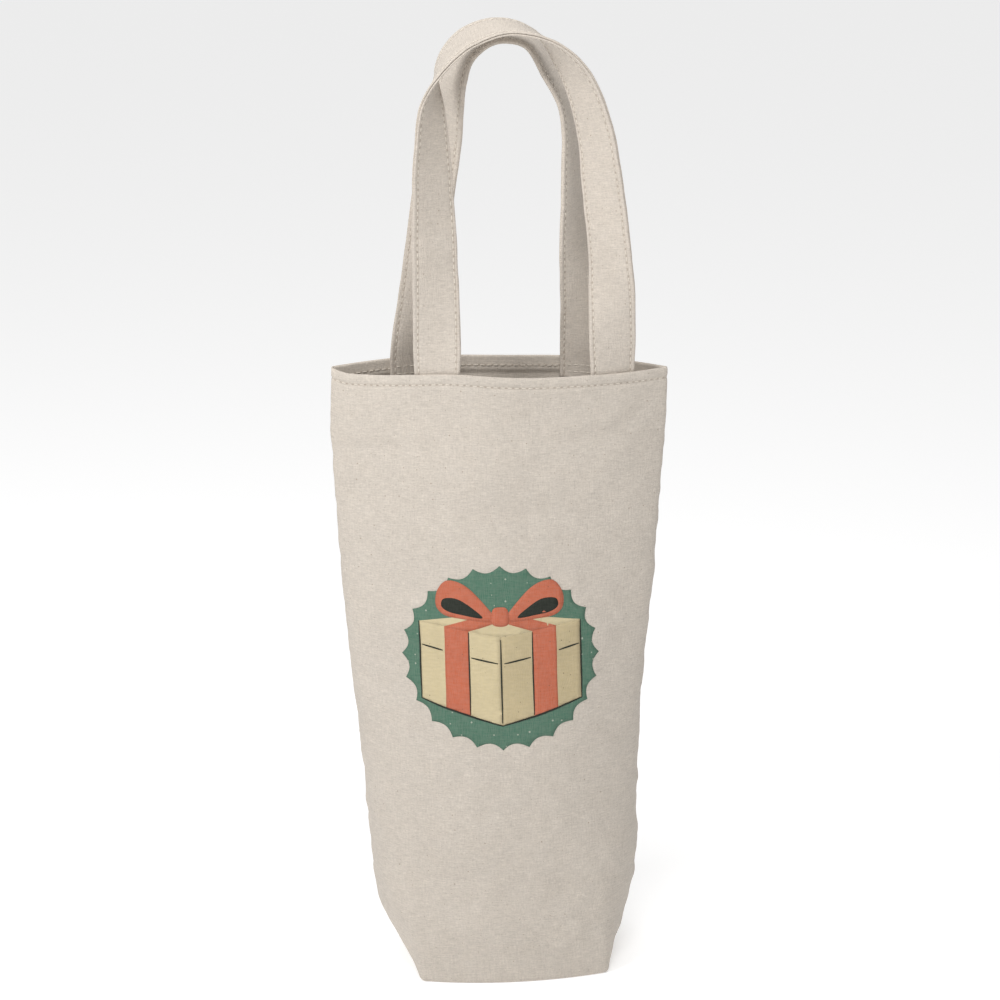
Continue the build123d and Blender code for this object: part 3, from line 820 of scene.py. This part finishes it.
class Strap:
    """A folded strap along its path. Its left edge is the one that faces out on the left leg."""

    def __init__(self, path, legs, side, seed):
        left, right = (rim_seat(x, side, STRAP_SEAT) for x in legs)
        stations = [(*left[:2], -TAIL_LENGTH, left[2]), (*left[:2], SWING_GAP, left[2])]
        stations += path
        stations += [(*right[:2], SWING_GAP, -right[2]), (*right[:2], -TAIL_LENGTH, -right[2])]
        stations = np.array(stations, float)
        places = np.append(0, np.cumsum(np.linalg.norm(np.diff(stations[:, :3], axis=0), axis=1)))
        fine = smooth_curve(places, stations, np.linspace(0, places[-1], 3000))
        way = np.append(0, np.cumsum(np.linalg.norm(np.diff(fine[:, :3], axis=0), axis=1)))
        self.length = way[-1]
        self.at = np.linspace(0, self.length, int(self.length / STRAP_STEP) + 1)
        line = np.stack([np.interp(self.at, way, fine[:, axis]) for axis in range(4)], 1)
        self.middle = line[:, :3] + [0, 0, RIM]
        self.along = unit(np.gradient(self.middle, axis=0))
        rear = unit(np.array([0, 1.0, 0]) - self.along * self.along[:, 1:2])
        inward = np.cross(rear, self.along)
        turn = np.radians(line[:, 3:4])
        self.across = inward * np.cos(turn) - rear * (side * np.sin(turn))
        self.out = np.cross(self.along, self.across)
        self.seed = seed
        self.side = side

    def place(self, length, over, lift):
        """A point at a length along the strap, a distance over from its middle line and a
        lift off its middle plane."""
        length, over = np.broadcast_arrays(np.asarray(length, float), over)
        found = [np.stack([np.interp(length, self.at, line[:, axis]) for axis in range(3)], -1)
                 for line in (self.middle, unit(self.across), self.out)]
        from_end = np.minimum(length, self.length - length)
        free = ease(from_end, TAIL_LENGTH, STRAP_FREE)
        share = over / (STRAP_WIDTH / 2)
        sway, tilt, cup, edge = (
            depth * ripples(length, 0 * length, size, STRAP_WAVE_SPAN, self.seed + number)
            for depth, size, number in STRAP_WAVES.values())
        depth, size, number = STRAP_ROUGH
        rough = depth * ripples(length, over * 4, size, size, self.seed + number)
        raised = lift + free * (sway + share * tilt + (share ** 2 - 0.4) * cup) + rough
        return found[0] + found[1] * (over + share * edge)[..., None] + found[2] * raised[..., None]


def make_strap(name, strap, nodes):
    """One strap, from its sewn end round its loop to the other, bending at the rim."""
    overs, lifts = strap_section(strap.at)
    lengths = strap.at[:, None] + 0 * overs
    rings = strap.place(lengths, overs, lifts)[:, ::-1]
    piece = tube_piece(name, rings, strap.at, strap_canvas)
    bend_at_rim(piece)
    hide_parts(*nodes)


def bend_at_rim(piece):
    """Bakes the piece's place into its mesh."""
    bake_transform(piece)


def make_strap_stitches(name, strap, node_name):
    """Two stitch rows along a strap, by its edges, on both faces."""
    count = int((strap.length - 2) / STITCH_PITCH)
    lengths = (np.arange(count) + 0.5) * STITCH_PITCH
    rows = []
    for over in (-(STRAP_WIDTH / 2 - EDGE_ROW), STRAP_WIDTH / 2 - EDGE_ROW):
        for face in (-1, 1):
            lift = face * (strap_half_thickness(over, 0 * lengths) + STITCH_LIFT)
            rows.append(lambda shift, share, over=over, lift=lift:
                        strap.place(lengths + shift, over, lift * share))
    piece = sew_rows(name, rows)
    bend_at_rim(piece)
    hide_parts(node_name)


def make_tack(name, strap, at_end, node_name):
    """The two short stitch rows that hold a strap's end, on its inner face."""
    overs = np.arange(-TACK_REACH, TACK_REACH + 0.1, STITCH_PITCH)
    lift = -strap.side * (STRAP_THICK / 2 + TACK_LIFT)
    rows = []
    for drop in TACK_DROPS:
        length = TAIL_LENGTH - drop if at_end == 0 else strap.length - TAIL_LENGTH + drop
        rows.append(lambda shift, share, length=length: strap.place(length, overs + shift, lift * share))
    piece = sew_rows(name, rows)
    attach(piece, "bag")
    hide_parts(node_name)


front_strap = Strap(FRONT_PATH, FRONT_LEGS, -1, seed=101)
rear_strap = Strap(REAR_PATH, REAR_LEGS, 1, seed=202)
for row, strap in (("front", front_strap), ("rear", rear_strap)):
    body = f"{row}_handle"
    tails = [f"{row}_{hand}_strap_tail" for hand in ("left", "right")]
    make_strap(f"{row}_strap", strap, [body] + tails)
    make_strap_stitches(f"{row}_strap_stitches", strap, f"{row}_handle_stitching")
    for at_end, hand in enumerate(("left", "right")):
        make_tack(f"{row}_{hand}_tack_stitches", strap, at_end, f"{row}_{hand}_tack")


# === Hem stitches ==========================================
def make_hem_stitches():
    """The hem's stitch row all round, outside and inside."""
    count = round(GIRTH / STITCH_PITCH)
    across = (np.arange(count) + 0.5) * GIRTH / count - GIRTH / 2
    across = across[from_seam(across + GIRTH / 4) > 2.0]
    rows = [lambda shift, share, lift=lift: on_bag(across + shift, HEM_ROW, lift * share)[0]
            for lift in (0.10, -(HEM_THICK + 0.05))]
    piece = sew_rows("hem_stitches", rows)
    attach(piece, "bag")
    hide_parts("hem_stitching")


make_hem_stitches()


# === Seams inside ==========================================
ALLOWANCE = 9.0
SEAM_FOOT = 30.0
OVERLOCK_PITCH = 3.0
OVERLOCK_REACH = 3.6


def make_allowance(name, foot, inward, face, nodes):
    """A seam's two raw edges as one strip from its foot line inward, and the overlock
    thread that wraps its free edge."""
    lengths = np.append(0, np.cumsum(np.linalg.norm(np.diff(foot, axis=0), axis=1)))
    sway = 0.5 * np.sin(lengths / 17)[:, None] * ease(np.arange(5) / 4, 0, 1)[None]
    half = CLOTH
    outline = [(0, half), (0.3, half), (0.6, half), (0.95, half), (1.0, 0.45 * half)]
    over = np.array([share for share, _ in outline])
    lift = np.array([height for _, height in outline])
    rings = []
    for sign in (1, -1):
        rings.append(foot[:, None] + inward[:, None] * (ALLOWANCE * over)[None, :, None]
                     + face[:, None] * (sign * lift[None] + sway)[..., None])
    rings = np.concatenate([rings[0], rings[1][:, ::-1]], 1)
    strip = tube_piece(name, rings, lengths, plain_canvas)
    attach(strip, "bag")
    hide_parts(nodes[0])

    wrap = [(-OVERLOCK_REACH, 1), (-OVERLOCK_REACH / 2, 1.02), (-0.3, 1.0), (0.25, 0.0), (-0.3, -1.0),
            (-OVERLOCK_REACH / 2, -1.02), (-OVERLOCK_REACH, -1)]
    turns = int((lengths[-1] - 2 * OVERLOCK_PITCH) / OVERLOCK_PITCH)
    path = []
    for number in range(turns):
        for step, (reach, side) in enumerate(wrap):
            at = OVERLOCK_PITCH * (1 + number + 0.5 * step / len(wrap))
            base, way, out = (np.array([np.interp(at, lengths, line[:, axis]) for axis in range(3)])
                              for line in (foot, inward, face))
            bent = 0.5 * math.sin(at / 17)
            path.append(base + way * (ALLOWANCE + reach) + out * (side * (half + 0.15) + bent))
    path = np.array(path)
    wrapped = np.append(0, np.cumsum(np.linalg.norm(np.diff(path, axis=0), axis=1)))
    thread_piece = tube_piece(f"{name}_overlock", thread_rings(path, OVERLOCK_RADIUS), wrapped, cotton)
    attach(thread_piece, "bag")
    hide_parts(nodes[1])


def make_side_allowance(hand, across, sign):
    """The allowance that stands in from a side seam."""
    heights = np.arange(SEAM_FOOT, RIM - HEM_DEPTH - 1.0, 3.0)
    foot, _ = on_bag(across + 0 * heights, heights, -(CLOTH + 0.8) + 0 * heights)
    inward = np.tile([-sign, 0.0, 0.0], (len(heights), 1))
    face = np.tile([0.0, sign, 0.0], (len(heights), 1))
    make_allowance(f"{hand}_seam_edge", foot, inward, face,
                   (f"{hand}_seam_allowance", f"{hand}_seam_overlock"))


def make_corner_allowance(hand, sign):
    """The allowance of a boxed corner, lying on the floor at one side of the base."""
    low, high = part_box(f"{hand}_corner_allowance")
    half = (high.y - low.y) / 2 / MM
    turn = math.radians(BASE_TURN)
    shares = np.linspace(-half, half, 24)
    edge = sign * (OUTLINES[0][1] - CLOTH - 3.0)
    x = edge * math.cos(turn) - shares * math.sin(turn) + LEAN[0][1]
    y = edge * math.sin(turn) + shares * math.cos(turn)
    foot = np.stack([x, y, np.full(len(shares), 2 * CLOTH + 0.25)], 1)
    inward = np.tile([-sign * math.cos(turn), -sign * math.sin(turn), 0.06], (len(shares), 1))
    face = np.tile([0.0, 0.0, 1.0], (len(shares), 1))
    if sign > 0:
        foot = foot[::-1]
    make_allowance(f"{hand}_corner_edge", foot, inward, face,
                   (f"{hand}_corner_allowance", f"{hand}_corner_overlock"))


for hand, sign in (("left", -1), ("right", 1)):
    make_side_allowance(hand, sign * GIRTH / 4, sign)
    make_corner_allowance(hand, sign)


# === Printed badge =========================================
def spline_loop(points, per_span=12):
    """A smooth closed loop through a few points."""
    points = np.array(points, float)
    count = len(points)
    padded = np.vstack([points[-2:], points, points[:3]])
    at = np.linspace(0, count, count * per_span, endpoint=False) + 2
    return smooth_curve(np.arange(len(padded)), padded, at)


def mirrored(points):
    return [(-x, y) for x, y in points][::-1]


def inside_loop(points, loop):
    """Which of the points lie inside a closed loop."""
    found = np.zeros(len(points), bool)
    for (x0, y0), (x1, y1) in zip(loop, np.roll(loop, -1, 0)):
        if y0 == y1:
            continue
        crosses = (points[:, 1] < y0) != (points[:, 1] < y1)
        found ^= crosses & (points[:, 0] < x0 + (points[:, 1] - y0) * (x1 - x0) / (y1 - y0))
    return found


PRINT_GRID = 2.2


def dense_loop(points, step=1.2):
    """A loop's straight runs cut into short ones, so that they follow the cloth."""
    points = np.array(points, float)
    found = []
    for start, end in zip(points, np.roll(points, -1, 0)):
        pieces = max(1, int(np.linalg.norm(end - start) / step))
        found += [start + (end - start) * number / pieces for number in range(pieces)]
    return np.array(found)


def print_piece(name, loops, low, high, material, nodes=()):
    """Ink over some closed loops, as a thin film between two lifts off the cloth."""
    points, faces, uvs = [], [], []
    for loop in loops:
        loop = dense_loop(loop)
        spans = [np.arange(start, end, PRINT_GRID) for start, end in zip(loop.min(0), loop.max(0))]
        grid = np.stack(np.meshgrid(*spans), -1).reshape(-1, 2)
        near = np.linalg.norm(grid[:, None] - loop[None], axis=2).min(1)
        grid = grid[inside_loop(grid, loop) & (near > 0.7)]
        flat = np.vstack([loop, grid])
        made = delaunay_2d_cdt([tuple(point) for point in flat], [], [list(range(len(loop)))], 1, 1e-5)
        flat, triangles = np.array([tuple(point) for point in made[0]]), made[2]
        first, count = len(points), len(flat)
        for lift in (high, low):
            across, height = (flat + PRINT_MIDDLE).T
            place, _ = on_bag(across, height, lift + 0 * across)
            points += place.tolist()
        edges = {}
        film = []
        for a, b, c in triangles:
            film.append([a, b, c])
            film.append([c + count, b + count, a + count])
            for edge in ((a, b), (b, c), (c, a)):
                edges[edge] = edges.get(edge, 0) + 1
        rim_edges = [edge for edge in edges if edge[::-1] not in edges]
        film += [[b, a, a + count, b + count] for a, b in rim_edges]
        for face in film:
            faces.append([corner + first for corner in face])
            uvs += [(flat[corner % count] + [GIRTH / 4 + PRINT_MIDDLE[0], PRINT_MIDDLE[1]]) * MM
                    for corner in face]
    piece = make_piece(name, points, faces, uvs, material)
    sharp = np.array([len(face) == 4 for face in faces])
    piece.data.polygons.foreach_set("use_smooth", ~sharp)
    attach(piece, "bag")
    if nodes:
        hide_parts(*nodes)


def badge_loop():
    """An oval with shallow scallops bitten out round its edge, points outward."""
    turns = np.linspace(0, 2 * np.pi, SCALLOPS * 12, endpoint=False)
    phase = (turns * SCALLOPS / (2 * np.pi)) % 1 * 2 - 1
    reach = SCALLOP_DEPTH * phase ** 2
    return np.stack([(BADGE_HALF_WIDTH + reach) * np.cos(turns),
                     (BADGE_HALF_HEIGHT + reach) * np.sin(turns)], 1)


# The gift box is seen corner on from a little above: a top and two faces.
BOX_HALF = 40.0
NEAR_CORNER = 11.0
FAR_CORNER = 24.0
SIDE_TOP = 17.5
SIDE_FOOT = -21.5
NEAR_FOOT = -33.5
BAND = (15.5, 27.5)          # the ribbon's edges on each face
LID_FOOT = 0.70              # the lid's lower edge, as a share of a face's height


def face_point(x, share):
    """A point on the box's front faces: across, and 0 at the foot to 1 at the top."""
    slide = abs(x) / BOX_HALF
    top = NEAR_CORNER + (SIDE_TOP - NEAR_CORNER) * slide
    foot = NEAR_FOOT + (SIDE_FOOT - NEAR_FOOT) * slide
    return x, foot + (top - foot) * share


def strip(points, width):
    """A closed outline of a line with a width that tapers to its ends."""
    points = np.array(points, float)
    way = unit(np.gradient(points, axis=0))
    over = np.stack([-way[:, 1], way[:, 0]], 1)
    taper = (np.sin(np.linspace(0.25, math.pi - 0.25, len(points))) ** 0.5)[:, None] * width / 2
    return np.vstack([points + over * taper, (points - over * taper)[::-1]])


left_face = [face_point(-BOX_HALF, 0), face_point(0, 0), face_point(0, 1), face_point(-BOX_HALF, 1)]
right_face = mirrored(left_face)
box_top = [(-BOX_HALF, SIDE_TOP), (0, NEAR_CORNER), (BOX_HALF, SIDE_TOP), (0, FAR_CORNER)]
bands = []
for hand in (-1, 1):
    near, far = hand * BAND[0], hand * BAND[1]
    band = [face_point(near, 0), face_point(far, 0), face_point(far, 1), face_point(near, 1)]
    bands.append(band if hand > 0 else band[::-1])
top_bands = []
for hand in (-1, 1):
    over = [(hand * BAND[0], face_point(BAND[0], 1)[1]), (hand * BAND[1], face_point(BAND[1], 1)[1]),
            (hand * 9.5, 21.5), (-hand * 2.5, 19.5)]
    top_bands.append(over if hand > 0 else over[::-1])

loop_outer = spline_loop([(2.2, 19.5), (8, 28), (17, 36.5), (25.5, 38.5), (30.5, 33), (31, 25.5),
                          (26.5, 21.0), (17, 19.6), (8, 18.6)])
loop_inner = spline_loop([(8.5, 20.6), (14.5, 26.2), (21, 29.6), (27.3, 29.4), (28.4, 25.6), (24.5, 22.9),
                          (17, 21.5)])
knot = spline_loop([(-3.6, 17.2), (-4.4, 21), (-3.2, 25.2), (0, 26), (3.2, 25.2), (4.4, 21), (3.6, 17.2),
                    (0, 16.2)])

print_piece("badge_print", [badge_loop()], 0.03, 0.12, ink_green, ["badge_print"])
print_piece("gift_box_print", [left_face, box_top], 0.12, 0.17, ink_cream, ["gift_box_print"])
print_piece("gift_box_shaded_print", [right_face], 0.12, 0.17, ink_shade)
print_piece("ribbon_print", bands + top_bands, 0.17, 0.21, ink_red, ["ribbon_print"])
print_piece("bow_print", [loop_outer, mirrored(loop_outer)], 0.21, 0.25, ink_red)
print_piece("bow_shadow_print", [loop_inner, mirrored(loop_inner)], 0.25, 0.28, ink_dark)
print_piece("knot_print", [knot], 0.25, 0.29, ink_red)

lines = [strip([face_point(0, share) for share in np.linspace(0.03, 0.97, 16)], 0.7)]
for hand in (-1, 1):
    lines.append(strip([face_point(hand * BOX_HALF, share) for share in np.linspace(0, 1, 20)], 0.8))
    ends = sorted((0, hand * BOX_HALF))
    lines.append(strip([face_point(x, 0) for x in np.linspace(*ends, 20)], 0.9))
    for start, end in ((BAND[1] + 1, BOX_HALF - 1), (1.5, BAND[0] - 1)):
        lines.append(strip([face_point(hand * x, LID_FOOT) for x in np.linspace(start, end, 8)], 0.8))
    lines.append(strip([face_point(hand * BAND[0], share) for share in np.linspace(0.02, 0.99, 16)], 0.7))
print_piece("line_print", lines, 0.25, 0.28, ink_dark, ["line_print"])


# === Floor, light and camera ===============================
FLOOR_REACH = 14.0
FLOOR_GLOW = 0.36            # the floor shines a little, as a light table does


def make_floor():
    """A wide plain pale floor."""
    mesh = bpy.data.meshes.new("floor")
    corners = [(-1, -1), (1, -1), (1, 1), (-1, 1)]
    mesh.from_pydata([(x * FLOOR_REACH, y * FLOOR_REACH, 0) for x, y in corners], [], [(0, 1, 2, 3)])
    floor = bpy.data.objects.new("floor", mesh)
    bpy.context.scene.collection.objects.link(floor)
    material = bpy.data.materials.new("pale_floor")
    material.use_nodes = True
    shader = next(n for n in material.node_tree.nodes if n.type == "BSDF_PRINCIPLED")
    shader.inputs["Base Color"].default_value = (0.86, 0.86, 0.86, 1)
    shader.inputs["Roughness"].default_value = 0.9
    shader.inputs["Specular IOR Level"].default_value = 0.1
    shader.inputs["Emission Color"].default_value = (1.0, 1.0, 1.0, 1)
    shader.inputs["Emission Strength"].default_value = FLOOR_GLOW
    mesh.materials.append(material)


def make_lamp(name, kind, energy):
    """A light of some kind, in the scene, and its lamp object."""
    light = bpy.data.lights.new(name, kind)
    light.energy = energy
    lamp = bpy.data.objects.new(name, light)
    bpy.context.scene.collection.objects.link(lamp)
    return light, lamp


def make_soft_box(name, place, aim, power, size):
    """A square soft box at a place, turned to an aim."""
    light, lamp = make_lamp(name, "AREA", power)
    light.size = size
    lamp.location = place
    way = mathutils.Vector(aim) - mathutils.Vector(place)
    lamp.rotation_euler = way.to_track_quat("-Z", "Y").to_euler()


def make_sun(name, azimuth, elevation, strength, softness):
    """A soft sun from an azimuth, with the front at 0 and the left positive, and an elevation."""
    light, lamp = make_lamp(name, "SUN", strength)
    light.angle = math.radians(softness)
    lamp.rotation_euler = (math.radians(90 - elevation), 0, -math.radians(azimuth))


def make_world(strength):
    world = bpy.data.worlds.new("studio")
    world.use_nodes = True
    background = next(n for n in world.node_tree.nodes if n.type == "BACKGROUND")
    background.inputs["Color"].default_value = (1.0, 1.0, 1.0, 1)
    background.inputs["Strength"].default_value = strength
    bpy.context.scene.world = world


CAMERA_PLACE = (0, -1.3, 0.64)
CAMERA_DOWN = 17.15          # degrees under the horizon
LENS = 100.44


def make_camera():
    """A long lens, a little above the bag and looking slightly down at it."""
    lens = bpy.data.cameras.new("camera")
    lens.lens = LENS
    lens.sensor_width = 36
    lens.clip_end = 100
    camera = bpy.data.objects.new("camera", lens)
    bpy.context.scene.collection.objects.link(camera)
    camera.location = CAMERA_PLACE
    camera.rotation_euler = (math.radians(90 - CAMERA_DOWN), 0, 0)
    bpy.context.scene.camera = camera


make_floor()
make_soft_box("key", (-0.76, -0.62, 0.98), (0, 0, 0.24), 7.0, 0.45)
make_soft_box("top", (0.05, -0.52, 1.08), (0, 0, 0.3), 4.4, 0.4)
make_sun("back", 165, 48, 0.9, 75)
make_world(0.33)
make_camera()
bpy.context.scene.view_settings.view_transform = "Standard"
